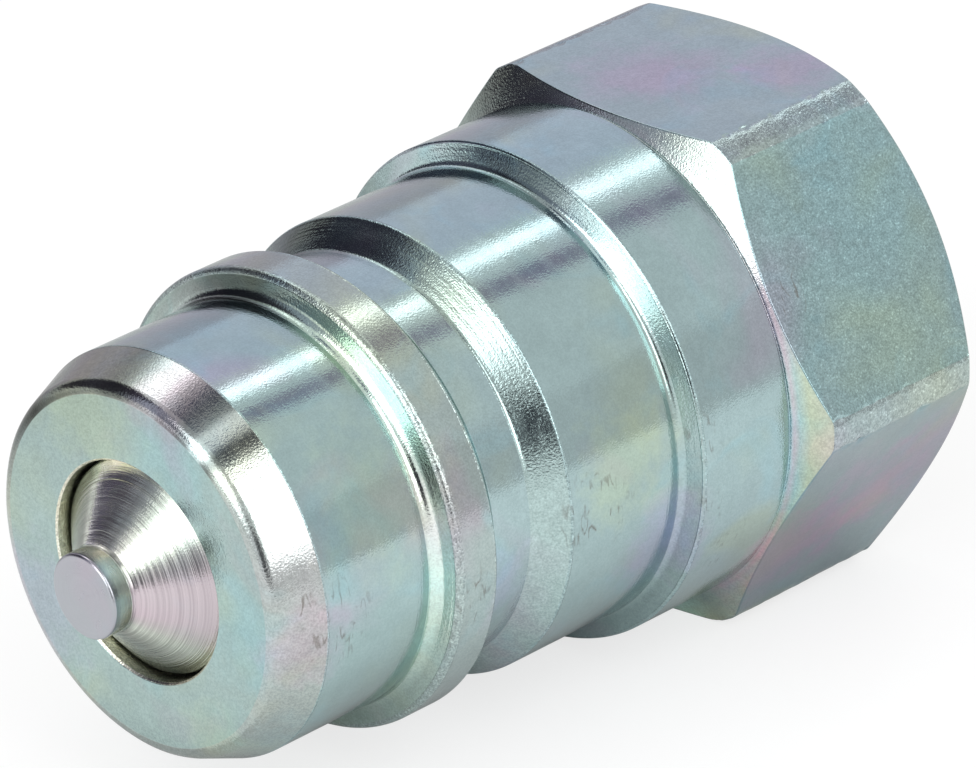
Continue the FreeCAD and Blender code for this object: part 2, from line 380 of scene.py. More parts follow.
# Materials
stainColors = {"pink": (1.26, 0.81, 1.02), "yellow": (1.14, 1.07, 0.84), "cyan": (0.86, 1.04, 1.12),
               "violet": (1.06, 0.86, 1.12)}
bodyFinish = {
    # colour, centre in millimetres, reach and amount of each stain of the passivation
    "filmStains": [
        ("pink", (-8.4, -8.6, -6.6), 3.9, 0.8), ("pink", (-5.4, -9.3, -5.2), 4.4, 0.55),
        ("pink", (-2.0, -9.6, -4.6), 4.4, 0.65), ("cyan", (-10.1, -3.9, -10.8), 2.6, 0.8),
        ("pink", (-6.8, 0.8, 11.0), 3.8, 0.45), ("pink", (-2.4, -3.2, 11.0), 2.6, 0.6),
        ("yellow", (-4.5, -10.4, 1.2), 5.5, 0.12), ("cyan", (-4.0, -8.2, 7.3), 5.0, 0.25),
        ("yellow", (-18.8, -9.7, 1.4), 3.0, 0.7), ("violet", (-16.6, -9.3, -3.2), 2.8, 0.7),
        ("yellow", (-30.5, -7.8, 3.8), 3.6, 0.5), ("violet", (-24.8, -8.4, -2.2), 2.2, 0.5),
        ("yellow", (-36.2, 2.6, 6.2), 3.4, 0.6), ("cyan", (-36.2, -2.4, 5.6), 2.8, 0.6),
        ("violet", (-36.2, 6.2, -3.4), 3.6, 0.5), ("cyan", (-36.2, -5.9, -0.8), 2.8, 0.35),
        ("pink", (-34.9, -8.2, -0.9), 2.2, 0.4), ("cyan", (-34.9, -5.8, -6.0), 3.0, 0.6),
        ("yellow", (-36.2, -4.6, -6.2), 2.6, 0.5),
    ],
    # what noise or grain gives: its values from and to, and the results at both
    "stainEdge": (0.25, 0.75, -0.45, 0.35), "mottle": (0.3, 0.7, 0.94, 1.06),
    "fleck": (0.5, 0.9, -0.19, 0.2), "paintedGlint": (0.88, 1.0, 0.0, 0.6), "paintedGlintGrain": (0.7, 1.3),
    "streakRoughness": (0.3, 0.7, -0.04, 0.05),
    # film colours across the hexagon's front cone, from coneBandRadii's first radius to its last
    "coneBands": [(0.0, (0.85, 1.06, 1.16, 1)), (0.1, (1.12, 0.94, 1.08, 1)),
                  (0.22, (0.88, 1.05, 1.08, 1)), (0.45, (1.08, 1.08, 0.86, 1)),
                  (1.0, (1.1, 1.03, 0.9, 1))],
    # radius, and how the bands fade with the sine of the angle at the top and below
    "coneBandRadii": (10.7, 12.4), "topFade": (0.6, 0.2, 0.1, 0.9), "lowFade": (-0.92, -0.6),
    "roughness": 0.095, "grainRoughness": 0.09, "tintAmount": 0.6,
    "grainSize": 0.085, "grainBump": 12e-6,
    "markFineness": 8.0, "markWaver": 1.2, "markBump": 14e-6, "markShare": (0.9, 0.1),
    # centre in millimetres, reach and amount of each patch of rub marks
    "rubMarks": [((-20.6, -9.8, 0.1), 2.4, 0.8), ((-33.6, -8.6, -0.2), 2.4, 0.7),
                 ((-26.9, -9.7, -1.2), 1.6, 0.8), ((-9.3, -9.6, 5.4), 1.4, 0.9),
                 ((-15.2, -10.7, 1.6), 1.2, 0.8), ((-15.2, -10.7, -1.8), 1.3, 0.8),
                 ((-13.2, -9.9, -4.4), 1.6, 0.6), ((-35.3, -8.1, 1.2), 1.0, 0.6)],
    "rubColor": (0.15, 0.13, 0.11, 1), "rubStrength": 0.75, "rubRoughness": 0.25,
}


def newMaterial(name):
    material = bpy.data.materials.new(name)
    material.use_nodes = True
    tree = material.node_tree
    return material, tree, tree.nodes["Principled BSDF"]


def plainMaterial(name):
    material, tree, _ = newMaterial(name)
    tree.nodes.clear()
    return material, tree


def finishMetal(tree, shader, color, roughness, grain, grainBump, marks, markBump, metallic=1.0):
    # Links the looks to the shader, grain and tool marks as two bumps, one on the other.
    fine = put(tree, "Bump", {"Height": grain, "Distance": grainBump, "Strength": 1.0})
    rings = put(tree, "Bump", {"Height": marks, "Distance": markBump, "Strength": 1.0,
                               "Normal": fine.outputs["Normal"]})
    fill(tree, shader, {"Base Color": color, "Roughness": roughness, "Metallic": metallic,
                        "Normal": rings.outputs["Normal"]})


def coneBands(tree, color):
    # The film's bands on the hexagon's front cone, fading towards the top and the underside.
    f = bodyFinish
    _, _, radius, _, upward = turnedPlace(tree)
    ramp = put(tree, "ValToRGB", {"Fac": span(tree, radius, *f["coneBandRadii"])})
    elements = ramp.color_ramp.elements
    elements[0].color = f["coneBands"][0][1]
    elements[1].color = f["coneBands"][-1][1]
    for where, shade in f["coneBands"][1:-1]:
        elements.new(where).color = shade
    banded = times(tree, attribute(tree, "bandedFilm"), span(tree, upward, *f["topFade"]))
    banded = times(tree, banded, span(tree, upward, *f["lowFade"]))
    return blendColor(tree, banded, color, tinted(tree, color, ramp.outputs[0]))


def ball(tree, centre, reach, amount, edge=0.0):
    # Mask of a soft ball given in millimetres.
    return useGroup(tree, softBall, {"Centre": tuple(v * mm for v in centre), "Reach": reach * mm,
                                     "Amount": amount, "Edge": edge}).outputs["Mask"]


def makeBodyPlate():
    # Tone, with its painted reflection, light and shade, grain and turning marks come from what
    # makeBody stores at each point of the mesh.
    f = bodyFinish
    material, tree, shader = newMaterial("zincPlate")
    grain = attribute(tree, "plateGrain")
    marks = useGroup(tree, toolMarks, {"Fineness": f["markFineness"], "Waver": f["markWaver"]})
    grains = useGroup(tree, plateGrain, {"Size": f["grainSize"]})
    height, cloud = grains.outputs["Height"], grains.outputs["Cloud"]
    tint = useGroup(tree, filmTint, {"Amount": f["tintAmount"]}).outputs["Color"]
    color = coneBands(tree, tinted(tree, attribute(tree, "plateToneAndReflection", "Color"), tint))
    color = shaded(tree, color, span(tree, cloud, *f["mottle"]))
    fleck = span(tree, height, *f["fleck"])
    # Sparks: bright points of the grain, painted glints.
    paintedGlint = times(tree, span(tree, height, *f["paintedGlint"]), span(tree, grain, *f["paintedGlintGrain"]))
    fleck = calc(tree, "ADD", calc(tree, "MULTIPLY_ADD", fleck, grain, 1.0), paintedGlint)
    color = shaded(tree, color, fleck)
    edge = span(tree, cloud, *f["stainEdge"])
    for stain, *place in f["filmStains"]:
        stained = tinted(tree, color, (*stainColors[stain], 1))
        color = blendColor(tree, ball(tree, *place, edge), color, stained)
    rub = 0.0
    for place in f["rubMarks"]:
        rub = calc(tree, "ADD", rub, ball(tree, *place))
    rub = times(tree, rub, useGroup(tree, rubLines, {}).outputs["Mask"])
    color = blendColor(tree, times(tree, rub, f["rubStrength"]), color, f["rubColor"])
    roughness = calc(tree, "MULTIPLY_ADD", grain, f["grainRoughness"], f["roughness"])
    streak = span(tree, marks.outputs["Streak"], *f["streakRoughness"])
    roughness = calc(tree, "ADD", roughness, streak)
    roughness = calc(tree, "MULTIPLY_ADD", rub, f["rubRoughness"], roughness)
    cutting = calc(tree, "MULTIPLY_ADD", attribute(tree, "plateCut"), *f["markShare"])
    finishMetal(tree, shader, color, roughness, times(tree, height, grain), f["grainBump"],
                times(tree, marks.outputs["Height"], cutting), f["markBump"])
    return material


poppetFinish = {
    "roughness": (0.3, 0.7, 0.18, 0.28), "ringShade": (-0.15, 0.15, 0.86, 1.12),
    "markFineness": 13.0, "markWaver": 0.35, "markBump": 34e-6, "grainSize": 0.07,
    "grainBump": 4e-6, "tintAmount": 0.3, "tintShift": (0.013, 0.002, 0.004),
    # painted dark reflection, a wedge on the cone: sine of its angle, how it fades from there,
    # cosine from and to, the marks that show it, colour and strength
    "darkReflectionHeight": 0.48, "darkReflectionFade": (0.2, 0.06), "darkReflectionSide": (-0.5, -0.7),
    "darkReflectionMarks": (0.56, 0.44), "darkReflectionColor": (0.1, 0.1, 0.12, 1), "darkReflectionStrength": 0.42,
}


def makePoppetPlate():
    # Strong rings from the turning tool, with the film's colours between them, painted shade in
    # their grooves and a painted dark reflection on the cone.
    f = poppetFinish
    material, tree, shader = newMaterial("turnedPoppetPlate")
    marks = useGroup(tree, toolMarks, {"Fineness": f["markFineness"], "Waver": f["markWaver"]})
    height = marks.outputs["Height"]
    grains = useGroup(tree, plateGrain, {"Size": f["grainSize"]})
    tint = useGroup(tree, filmTint, {"Amount": f["tintAmount"], "Shift": f["tintShift"]})
    color = tinted(tree, attribute(tree, "plateToneAndReflection", "Color"), tint.outputs["Color"])
    cutting = attribute(tree, "plateCut")
    _, _, _, sideways, upward = turnedPlace(tree)
    # A painted dark reflection: a wedge on the cone's -Y side, shown through the tool marks.
    away = calc(tree, "ABSOLUTE", calc(tree, "SUBTRACT", upward, f["darkReflectionHeight"]))
    darkReflection = times(tree, span(tree, away, *f["darkReflectionFade"]), span(tree, sideways, *f["darkReflectionSide"]))
    darkReflection = times(tree, times(tree, darkReflection, cutting), span(tree, height, *f["darkReflectionMarks"]))
    color = blendColor(tree, times(tree, darkReflection, f["darkReflectionStrength"]), color, f["darkReflectionColor"])
    # Painted shade in the tool rings' grooves, painted light on their crests.
    ring = times(tree, calc(tree, "SUBTRACT", height, 0.5), cutting)
    color = shaded(tree, color, span(tree, ring, *f["ringShade"]))
    roughness = span(tree, marks.outputs["Streak"], *f["roughness"])
    finishMetal(tree, shader, color, roughness, grains.outputs["Height"], f["grainBump"],
                times(tree, height, cutting), f["markBump"])
    return material


# Inner pieces: tone, roughness, fineness of the tool marks, heights of marks and grain in metres.
innerFinishes = {
    "guidePlate": ((0.45, 0.50, 0.45), 0.24, 7.0, 6e-6, 4e-6),
    "springWire": ((0.30, 0.30, 0.31), 0.28, 3.0, 2e-6, 3e-6),
    "ringPhosphate": ((0.06, 0.06, 0.065), 0.45, 3.0, 2e-6, 8e-6),
    "sealRubber": ((0.012, 0.012, 0.012), 0.42, 2.0, 3e-6, 5e-6),
}


def makeInner(name, metallic=1.0):
    tone, roughness, fineness, markBump, grainBump = innerFinishes[name]
    material, tree, shader = newMaterial(name)
    cloudShade, smoother, rougher = (0.3, 0.7, 0.82, 1.15), 0.05, 0.08
    marks = useGroup(tree, toolMarks, {"Fineness": fineness, "Waver": 2.0})
    grains = useGroup(tree, plateGrain, {"Size": 0.1})
    color = shaded(tree, (*tone, 1), span(tree, grains.outputs["Cloud"], *cloudShade))
    rough = span(tree, marks.outputs["Streak"], 0.3, 0.7, roughness - smoother, roughness + rougher)
    finishMetal(tree, shader, color, rough, grains.outputs["Height"], grainBump,
                marks.outputs["Height"], markBump, metallic)
    return material


zincPlate = makeBodyPlate()
turnedPoppetPlate = makePoppetPlate()
guidePlate = makeInner("guidePlate")
springWire = makeInner("springWire")
ringPhosphate = makeInner("ringPhosphate")
sealRubber = makeInner("sealRubber", metallic=0.0)
print("materials made")

# Body
bodyShape = {
    "noseFaceR": 7.82, "noseEdge": 0.6, "noseTaper": 2.14, "taperEdge": 0.12,
    "probeR": 8.65, "probeEnd": 7.95, "collarFoot": 0.45,
    "collarR": 9.8, "collarStart": 8.153, "collarFrontEdge": 0.3, "collarEnd": 10.133,
    "collarEdge": 0.15,
    "grooveR": 8.75, "grooveStart": 11.014, "grooveEnd": 13.143, "grooveFoot": 0.25,
    "sleeveR": 9.82, "sleeveStart": 14.331, "sleeveEnd": 20.511, "flangeRoot": 0.3,
    "flangeR": 10.7, "flangeStart": 20.831, "barrelR": 10.8, "barrelStart": 20.931,
    "barrelEnd": 25.771, "neckR": 10.7, "neckFoot": 0.02, "hexStart": 25.891,
    "flatR": 11.0, "cornerR": 12.37, "hexFront": 26.036, "hexRear": 35.843,
    "frontCone": 29.0, "rearCone": 36.5, "portFaceR": 10.45,
    "noseBoreR": 4.65, "noseBoreEdge": 0.1, "noseBoreEnd": 2.15, "chamberR": 6.6,
    "chamberStart": 4.1, "chamberEnd": 19.35, "guideBoreR": 7.1,
    "ringGrooveR": 7.5, "ringGrooveStart": 21.05, "ringGrooveEnd": 22.15,
    "reliefStart": 22.95, "reliefR": 8.7, "threadStart": 24.75, "threadR": 8.331,
    "portChamfer": 0.3, "cornerBreak": 0.03,
    "fineEdge": 0.05, "barrelEdge": 0.06, "hexFrontEdge": 0.07, "hexRows": 74,
    "reliefEdge": 0.1, "chamberEdge": 0.2, "boreEdge": 0.03,
    # corners of the profile, counted from the nose, that are worn and grainy
    "wornEdges": (1, 3, 4, 7, 9, 10), "wornGrain": 1.5,
    # small dents beside the corners: number, depth, sizes, scatter in degrees, clear ends of
    # the hexagon, how much longer they are along it, and how far round each is worked out
    "chips": 480, "chipDepth": 0.055, "chipSizes": (0.08, 0.16), "chipScatter": 0.25,
    "chipEnds": (0.4, 0.3), "chipStretch": 0.6, "chipReach": 6, "chipSeed": 7,
    # the turned corners, and how far their finish goes past them in degrees
    "cornerTone": (0.34, 0.42, 0.43), "cornerGrain": 1.3, "cornerPast": 0.2,
}
# Tone, linear, grain and turning marks of each surface, from the nose to the port. The tone is
# painted reflection and shade: each surface's reflected look, darker in the neck's recess and light
# in the bore's mouth.
reflectedSurfaceTones = {
    "taper": ((0.42, 0.475, 0.455), 0.72, 0.25), "probe": ((0.36, 0.485, 0.485), 0.3, 0.15),
    "collarFace": ((0.49, 0.62, 0.57), 0.6, 0.5), "collar": ((0.38, 0.46, 0.45), 0.5, 0.25),
    "groove": ((0.37, 0.49, 0.50), 0.4, 0.3), "cone": ((0.40, 0.52, 0.51), 0.8, 0.9),
    "sleeve": ((0.36, 0.48, 0.485), 0.32, 0.15), "flange": ((0.375, 0.49, 0.49), 0.5, 0.3),
    "barrel": ((0.36, 0.48, 0.49), 0.4, 0.2), "neck": ((0.24, 0.31, 0.33), 0.3, 0.0),
    "hexCone": ((0.46, 0.53, 0.50), 0.7, 0.3), "hex": ((0.37, 0.46, 0.47), 1.0, 0.0),
    "portFace": ((0.38, 0.47, 0.47), 0.5, 0.8), "inside": ((0.36, 0.40, 0.38), 0.5, 0.8),
    "mouth": ((0.74, 0.72, 0.60), 1.5, 0.4), "noseFace": ((0.355, 0.462, 0.445), 0.5, 0.05),
}
# What the tone of a surface is multiplied with round the axis, in place of reflections that the
# lamps and boards don't give: degrees from -Y over +Z, factor.
toneTurns = {
    "taper": [(-66, 0.9), (-50, 1), (50, 1), (53, 0.45), (55.5, 0.45), (58, 1.5), (62, 1.5),
              (64.5, 0.6), (69, 0.5), (74, 0.65), (77, 0.8), (80, 1.15), (86, 1.15), (91, 0.85),
              (95, 0.6), (99, 0.6), (106, 0.85), (122, 0.56), (130, 0.36), (138, 0.18),
              (160, 0.7)],
    "cone": [(14, 1), (22, 1.5), (28, 1.4), (34, 0.9), (42, 0.8), (96, 0.9), (112, 0.55),
             (126, 0.3), (140, 0.6), (160, 1)],
    "collarFace": [(-80, 0.75), (-38, 0.9), (-14, 1.1), (0, 1.3), (70, 1.15), (84, 0.85),
                   (96, 0.3), (108, 0.28), (116, 0.4), (124, 0.75), (134, 1)],
    "hexCone": [(-70, 1.75), (-60, 0.9), (-40, 0.95), (-20, 1), (84, 1), (92, 1.5), (99, 1.9),
                (106, 1.1), (116, 0.8), (126, 0.5), (140, 0.75)],
    "flange": [(40, 1), (50, 1.3), (58, 1.45), (66, 1.1), (74, 0.65), (82, 0.55), (90, 0.6),
               (96, 1.3), (102, 1.8), (108, 1.8), (116, 1.4), (130, 1.15), (150, 1)],
    "poppetCone": [(-74, 0.62), (-62, 0.68), (-52, 0.9), (-40, 1.22), (-26, 1), (58, 1),
                   (66, 0.6), (74, 0.86), (82, 0.76), (90, 1.35), (98, 1.9), (106, 2.2),
                   (116, 2.9), (124, 1.9), (132, 0.95)],
}
# Tone and grain of the six flats, from the top one over the side that the camera sees. The tones
# are painted light and shade on one finish, the third, lower flat the darkest.
flatLitTones = [((0.35, 0.445, 0.448), 0.45), ((0.315, 0.45, 0.46), 1.1), ((0.25, 0.335, 0.355), 0.4),
             ((0.36, 0.45, 0.46), 0.6), ((0.36, 0.44, 0.46), 0.8), ((0.36, 0.45, 0.45), 0.7)]


def turnFactor(surface, angles):
    # The factor of toneTurns at each angle about the axis. At +Y, and without an entry, it is 1.
    turns = [(-180, 1), *toneTurns.get(surface, []), (180, 1)]
    fromCamera = (180 - np.degrees(angles) + 180) % 360 - 180
    return np.interp(fromCamera, *zip(*turns))[:, None]


def hexAngles():
    # Angles about the axis, close together beside the hexagon's corners. Flats face up and down.
    corner = np.array([-30, -29.2, -28.4, -27.8, -27.45, -27.25, -27.1, -26.9, -26.6, -26.1])
    sector = np.concatenate([corner, np.linspace(-25.2, 25.2, 29), -corner[:0:-1]])
    return np.radians(np.concatenate([90 + 60 * k + sector for k in range(6)]))


def hexRadius(angles, s):
    # Smooth minimum of flat / cos(angle off the flat's middle) and the turned corner's radius.
    off = (np.degrees(angles) - 60) % 60 - 30
    flat = s["flatR"] / np.cos(np.radians(off))
    k = s["cornerBreak"]
    return -k * np.logaddexp(-flat / k, -s["cornerR"] / k)


def cornerChips(stations, radii, angles, s):
    # Small dents along both lines of each corner: the radius less the sum of
    # depth exp(-distance^2 / size^2).
    rng = np.random.default_rng(s["chipSeed"])
    lineAngle = math.degrees(math.acos(s["flatR"] / s["cornerR"]))
    frontFree, rearFree = s["chipEnds"]
    dents = np.zeros(radii.shape)
    for k in range(6):
        near = np.abs((np.degrees(angles) - 60 - 60 * k + 180) % 360 - 180) < s["chipReach"]
        count = s["chips"] // 6
        side = rng.choice([-1, 1], count)
        scatter = rng.normal(0, s["chipScatter"], count)
        turn = np.radians(60 + 60 * k + side * (30 - lineAngle) + scatter)
        along = rng.uniform(s["hexFront"] + frontFree, s["hexRear"] - rearFree, count)
        size = rng.uniform(*s["chipSizes"], count)
        depth = s["chipDepth"] * rng.uniform(0.2, 1, count) ** 2
        arc = (angles[near, None, None] - turn) * s["cornerR"]
        run = stations[near][:, :, None] - along
        squares = arc ** 2 + (run * s["chipStretch"]) ** 2
        dents[near] += (depth * np.exp(-squares / size ** 2)).sum(-1)
    return radii - dents


def makeBody():
    # The profile carried round the axis: point (x, r cos a, r sin a), where along the hexagon
    # the radius r, and the stations of its ends, change with the angle a.
    s = bodyShape
    angles = hexAngles()
    hexR = hexRadius(angles, s)
    front = s["hexFront"] + (hexR - s["flatR"]) * math.tan(math.radians(s["frontCone"]))
    rear = s["hexRear"] - (hexR - s["flatR"]) * math.tan(math.radians(s["rearCone"]))
    port = s["threadR"] + s["portChamfer"]
    mouth = s["noseBoreR"] + s["noseBoreEdge"]
    # station, radius, rounding, cuts after it, surface after it
    profile = [
        (0, s["noseFaceR"], s["noseEdge"], 2, "taper"),
        (s["noseTaper"], s["probeR"], s["taperEdge"], 4, "probe"),
        (s["probeEnd"], s["probeR"], s["collarFoot"], 1, "collarFace"),
        (s["collarStart"], s["collarR"], s["collarFrontEdge"], 1, "collar"),
        (s["collarEnd"], s["collarR"], s["collarEdge"], 1, "collar"),
        (s["grooveStart"], s["grooveR"], s["grooveFoot"], 1, "groove"),
        (s["grooveEnd"], s["grooveR"], s["grooveFoot"], 1, "cone"),
        (s["sleeveStart"], s["sleeveR"], s["collarEdge"], 4, "sleeve"),
        (s["sleeveEnd"], s["sleeveR"], s["flangeRoot"], 1, "flange"),
        (s["flangeStart"], s["flangeR"], s["fineEdge"], 0, "flange"),
        (s["barrelStart"], s["barrelR"], s["barrelEdge"], 4, "barrel"),
        (s["barrelEnd"], s["barrelR"], s["fineEdge"], 0, "barrel"),
        (s["barrelEnd"], s["neckR"], s["neckFoot"], 0, "neck"),
        (s["hexStart"], s["neckR"], s["neckFoot"], 2, "hexCone"),
        (front, hexR, s["hexFrontEdge"], s["hexRows"], "hex"),
        (rear, hexR, s["fineEdge"], 2, "portFace"),
        (bodyLength, s["portFaceR"], s["barrelEdge"], 2, "portFace"),
        (bodyLength, port, s["fineEdge"], 0, "inside"),
        (bodyLength - s["portChamfer"], s["threadR"], 0, 3, "inside"),
        (s["threadStart"], s["threadR"], 0, 0, "inside"),
        (s["threadStart"], s["reliefR"], s["reliefEdge"], 1, "inside"),
        (s["reliefStart"], s["reliefR"], s["reliefEdge"], 0, "inside"),
        (s["reliefStart"], s["guideBoreR"], s["fineEdge"], 1, "inside"),
        (s["ringGrooveEnd"], s["guideBoreR"], 0, 0, "inside"),
        (s["ringGrooveEnd"], s["ringGrooveR"], 0, 0, "inside"),
        (s["ringGrooveStart"], s["ringGrooveR"], 0, 0, "inside"),
        (s["ringGrooveStart"], s["guideBoreR"], 0, 0, "inside"),
        (s["chamberEnd"], s["guideBoreR"], 0, 0, "inside"),
        (s["chamberEnd"], s["chamberR"], s["fineEdge"], 3, "inside"),
        (s["chamberStart"], s["chamberR"], s["chamberEdge"], 1, "inside"),
        (s["noseBoreEnd"], s["noseBoreR"], s["fineEdge"], 3, "mouth"),
        (s["noseBoreEdge"], s["noseBoreR"], s["boreEdge"], 0, "mouth"),
        (0, mouth, s["boreEdge"], 2, "noseFace"),
    ]
    stations, radii, owner = roundedPath(profile, closed=True)
    stations = np.broadcast_to(stations, (len(angles), stations.shape[1])).copy()
    radii = np.broadcast_to(radii, stations.shape).copy()
    surfaces = [row[4] for row in profile]
    onHex = np.array([surfaces[i] == "hex" for i in owner])
    radii[:, onHex] = cornerChips(stations[:, onHex], radii[:, onHex], angles, s)
    mesh = gridMesh("couplerBody", turned(stations, radii, angles), True, True)
    tone = np.ones((*stations.shape, 4))
    grain = np.zeros(stations.shape)
    cutting = np.zeros(stations.shape)
    # Each surface's tone, with its painted reflection and shade, times its painted reflection
    # factors round the axis; the flats and corners get tones of their own.
    for row, i in enumerate(owner):
        shade, grain[:, row], cutting[:, row] = reflectedSurfaceTones[surfaces[i]]
        tone[:, row, :3] = turnFactor(surfaces[i], angles) * shade
    # The flats get their painted light and shade.
    flat = np.round((np.degrees(angles) - 90) / 60).astype(int) % 6
    for k, (flatTone, flatGrain) in enumerate(flatLitTones):
        where = np.ix_(flat == k, onHex)
        tone[(*where, slice(0, 3))] = flatTone
        grain[where] = flatGrain
    lineAngle = math.degrees(math.acos(s["flatR"] / s["cornerR"]))
    corner = np.abs((np.degrees(angles) - 60) % 60 - 30) > lineAngle - s["cornerPast"]
    tone[(*np.ix_(corner, onHex), slice(0, 3))] = s["cornerTone"]
    grain[np.ix_(corner, onHex)] = s["cornerGrain"]
    for edge in s["wornEdges"]:
        first = np.searchsorted(owner, edge)
        grain[:, first:first + arcSteps + 1] = s["wornGrain"]
    banded = np.array([surfaces[i] == "hexCone" for i in owner]) * np.ones((len(angles), 1))
    storeTone(mesh, tone)
    storeValues(mesh, "plateGrain", grain)
    storeValues(mesh, "bandedFilm", banded)
    storeValues(mesh, "plateCut", cutting)
    tidyMesh(mesh, sharpAngle=34)
    print("body made,", 2 * len(mesh.polygons), "triangles")
    addPiece(mesh, "body", "plated_body", zincPlate, "coupler_body")


makeBody()

# Port thread
threadShape = {
    "pitch": 1.337, "majorR": 8.331, "minorR": 7.475, "first": 0.5, "last": 11.1,
    "footWidth": 1.12, "crestWidth": 0.34, "crestSoft": 0.1, "endWidth": 0.3, "sunk": 0.05,
    "flankShare": 0.6, "runOut": 0.6, "stepsPerTurn": 72,
}


def makePortThread():
    # A ridge of trapezium section along the helix (x, r cos a, r sin a), x falling by one pitch
    # a turn from the port's mouth. At both ends it shrinks into the wall over part of a turn.
    s = threadShape
    turns = (s["last"] - s["first"]) / s["pitch"]
    a = np.linspace(0, 2 * np.pi * turns, int(turns * s["stepsPerTurn"]))
    done = a / (2 * np.pi)
    rise = np.clip(np.minimum(done, turns - done) / s["runOut"], 0, 1)
    rise = rise * rise * (3 - 2 * rise)
    depth = (s["majorR"] - s["minorR"]) * rise
    wall = s["majorR"] + s["sunk"]
    widening = s["endWidth"] + (1 - s["endWidth"]) * rise
    foot = s["footWidth"] / 2 * widening
    crest = s["crestWidth"] / 2 * widening
    soft = s["crestSoft"] * rise
    flank = crest + soft * s["flankShare"]
    across = np.stack([-foot, -flank, -crest * 0.5, crest * 0.5, flank, foot, foot, -foot], 1)
    none = 0 * depth
    reach = np.stack([none, depth - soft, depth, depth, depth - soft, none, none, none], 1)
    radii = s["majorR"] - reach
    radii[:, 6:] = wall
    across[[0, -1]] = 0
    radii[[0, -1]] = wall
    x = -(s["first"] + s["pitch"] * done)[:, None] + across
    points = np.stack([x, radii * np.cos(a)[:, None], radii * np.sin(a)[:, None]], -1) * mm
    mesh = gridMesh("portThread", points, False, True)
    tidyMesh(mesh, sharpAngle=28, mergeDistance=1e-8)
    faceOutward(mesh)
    addPiece(mesh, "body", "plated_body", guidePlate)


makePortThread()

# Valve pieces
poppetShape = {
    "tipFront": -2.76, "tipR": 1.8, "tipEdge": 0.12, "tipEnd": -1.67, "tipFoot": 0.3,
    "coneEnd": 0.65, "landR": 4.53, "coneEdge": 0.22, "lipStart": 2.384, "sealFront": 3.004,
    "lipR": 5.15, "sealFloorR": 4.174, "sealEnd": 4.784, "shankR": 2.9, "shankEnd": 12.94,
    "stemR": 2.1, "stemEnd": 22.55, "stemChamfer": 0.4, "lipEdge": 0.05, "stemEdge": 0.1,
    "stemRoot": 0.02, "steps": 168,
    # tool marks on the tip against the cone's, and tones, with painted reflection in them: the
    # cone's -Y side is warmer and the tip's side lighter than its face
    "tipMarks": 0.12, "coneTone": (0.45, 0.49, 0.435), "warmTone": (0.52, 0.46, 0.49),
    "warmFrom": -0.8, "warmOver": 0.16, "tipTone": (0.40, 0.415, 0.445),
    "tipSideTone": (0.60, 0.65, 0.62),
}


def makePoppet():
    # The profile carried round the axis: point (x, r cos a, r sin a), from pole to pole.
    s = poppetShape
    profile = [
        (s["tipFront"], 0, 0, 2),
        (s["tipFront"], s["tipR"], s["tipEdge"], 2),
        (s["tipEnd"], s["tipR"], s["tipFoot"], 8),
        (s["coneEnd"], s["landR"], s["coneEdge"], 2),
        (s["lipStart"], s["landR"], s["lipEdge"], 0),
        (s["sealFront"], s["lipR"], s["lipEdge"], 0),
        (s["sealFront"], s["sealFloorR"], 0, 0),
        (s["sealEnd"], s["sealFloorR"], 0, 0),
        (s["sealEnd"], s["shankR"], 0, 2),
        (s["shankEnd"], s["shankR"], s["stemEdge"], 0),
        (s["shankEnd"], s["stemR"], s["stemRoot"], 3),
        (s["stemEnd"] - s["stemChamfer"], s["stemR"], s["stemEdge"], 0),
        (s["stemEnd"], s["stemR"] - s["stemChamfer"], s["stemEdge"], 2),
        (s["stemEnd"], 0, 0, 0),
    ]
    stations, radii, owner = roundedPath(profile, closed=False)
    angles = evenAngles(s["steps"])
    mesh = gridMesh("valvePoppet", turned(stations, radii, angles), True, False)
    # The cone's tone carries painted reflections: factors round the axis, and warmer on its -Y
    # side.
    warm = np.clip((s["warmFrom"] - np.cos(angles)) / s["warmOver"], 0, 1)[:, None]
    cone = turnFactor("poppetCone", angles) * ((1 - warm) * s["coneTone"] + warm * s["warmTone"])
    onTip = owner < 2
    tone = np.ones((len(angles), len(owner), 4))
    tone[..., :3] = cone[:, None]
    tone[:, onTip, :3] = s["tipTone"]
    # The tip's side is painted lighter than its face.
    tone[:, onTip & (stations[0] > s["tipFront"] + 2 * s["tipEdge"]), :3] = s["tipSideTone"]
    storeTone(mesh, tone)
    storeValues(mesh, "plateCut", np.where(onTip, s["tipMarks"], 1.0) * np.ones((s["steps"], 1)))
    tidyMesh(mesh, sharpAngle=34, mergeDistance=1e-7)
    addPiece(mesh, "valve", "plated_poppet", turnedPoppetPlate, "poppet")


sealShape = {"centre": 3.894, "meanR": 5.064, "sectionR": 0.89, "sectionSteps": 24, "steps": 128}


def makeSeal():
    # Torus: station = centre - sectionR cos t, radius = meanR + sectionR sin t.
    s = sealShape
    t = evenAngles(s["sectionSteps"])
    stations = (s["centre"] - s["sectionR"] * np.cos(t))[None]
    radii = (s["meanR"] + s["sectionR"] * np.sin(t))[None]
    mesh = gridMesh("valveSeal", turned(stations, radii, evenAngles(s["steps"])), True, True)
    tidyMesh(mesh, sharpAngle=60)
    addPiece(mesh, "valve", "seal_rubber", sealRubber, "poppet_seal")


retainerShape = {"start": 4.784, "length": 0.97, "outerR": 5.7, "innerR": 2.95, "edge": 0.15,
                 "boreEdge": 0.03, "marks": 0.5, "steps": 128}


